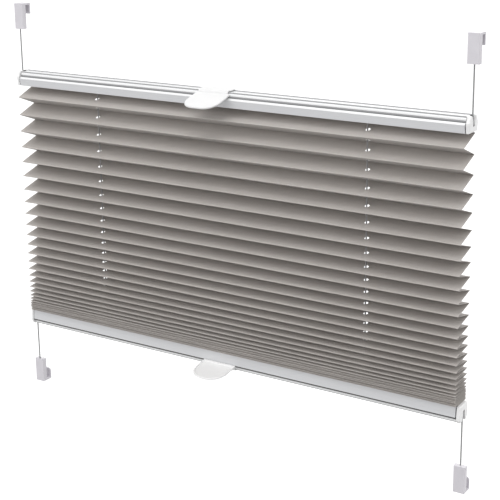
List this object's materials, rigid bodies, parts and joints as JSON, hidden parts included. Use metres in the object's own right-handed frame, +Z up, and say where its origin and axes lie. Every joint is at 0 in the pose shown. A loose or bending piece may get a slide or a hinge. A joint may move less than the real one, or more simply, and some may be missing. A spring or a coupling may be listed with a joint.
{
  "type": "pleated blind",
  "caption": "Pleated window blind: grey folded cloth between aluminium rails with clip-on handles, sliding on tension cords between hook brackets.",
  "frame": {"origin": "midway between the upper hooks, at the level of their seats, in the middle plane of the cords", "axes": "+X along the rails, -Y towards the room, +Z up"},
  "size_m": [0.4116, 0.0429, 0.3361],
  "materials": {
    "rail_aluminium": "brushed along its length, clear anodised",
    "white_plastic": "white moulded plastic, satin",
    "bracket_plastic": "pale grey-white moulded plastic, satin",
    "inner_plastic": "white extruded and moulded plastic",
    "pleated_cloth": "woven polyester, warm grey, pressed into pleats",
    "tension_cord": "braided polyester, grey",
    "ferrule_metal": "plain crimped sleeve"
  },
  "bodies": {
    "brackets": {"upper_left_bracket": "bracket_plastic", "upper_right_bracket": "bracket_plastic", "lower_left_bracket": "bracket_plastic", "lower_right_bracket": "bracket_plastic", "upper_left_ferrule": "ferrule_metal", "upper_right_ferrule": "ferrule_metal", "lower_left_ferrule": "ferrule_metal", "lower_right_ferrule": "ferrule_metal", "left_cord": "tension_cord", "right_cord": "tension_cord", "pleated_fabric": "pleated_cloth"},
    "top_rail": {"top_rail": "rail_aluminium", "top_left_end_cap": "white_plastic", "top_right_end_cap": "white_plastic", "top_handle": "white_plastic", "top_fabric_strip": "inner_plastic", "top_left_cord_guide": "inner_plastic", "top_right_cord_guide": "inner_plastic"},
    "bottom_rail": {"bottom_rail": "rail_aluminium", "bottom_left_end_cap": "white_plastic", "bottom_right_end_cap": "white_plastic", "bottom_handle": "white_plastic", "bottom_fabric_strip": "inner_plastic", "bottom_left_cord_guide": "inner_plastic", "bottom_right_cord_guide": "inner_plastic"}
  },
  "joints": [
    {"name": "top_rail_slide", "type": "slide", "parent": "brackets", "child": "top_rail", "axis": [0, 0, 1], "range_m": [-0.075, 0.03], "deforming": ["pleated_fabric", "left_cord", "right_cord"]},
    {"name": "bottom_rail_slide", "type": "slide", "parent": "brackets", "child": "bottom_rail", "axis": [0, 0, 1], "range_m": [-0.03, 0.075], "deforming": ["pleated_fabric", "left_cord", "right_cord"]}
  ]
}
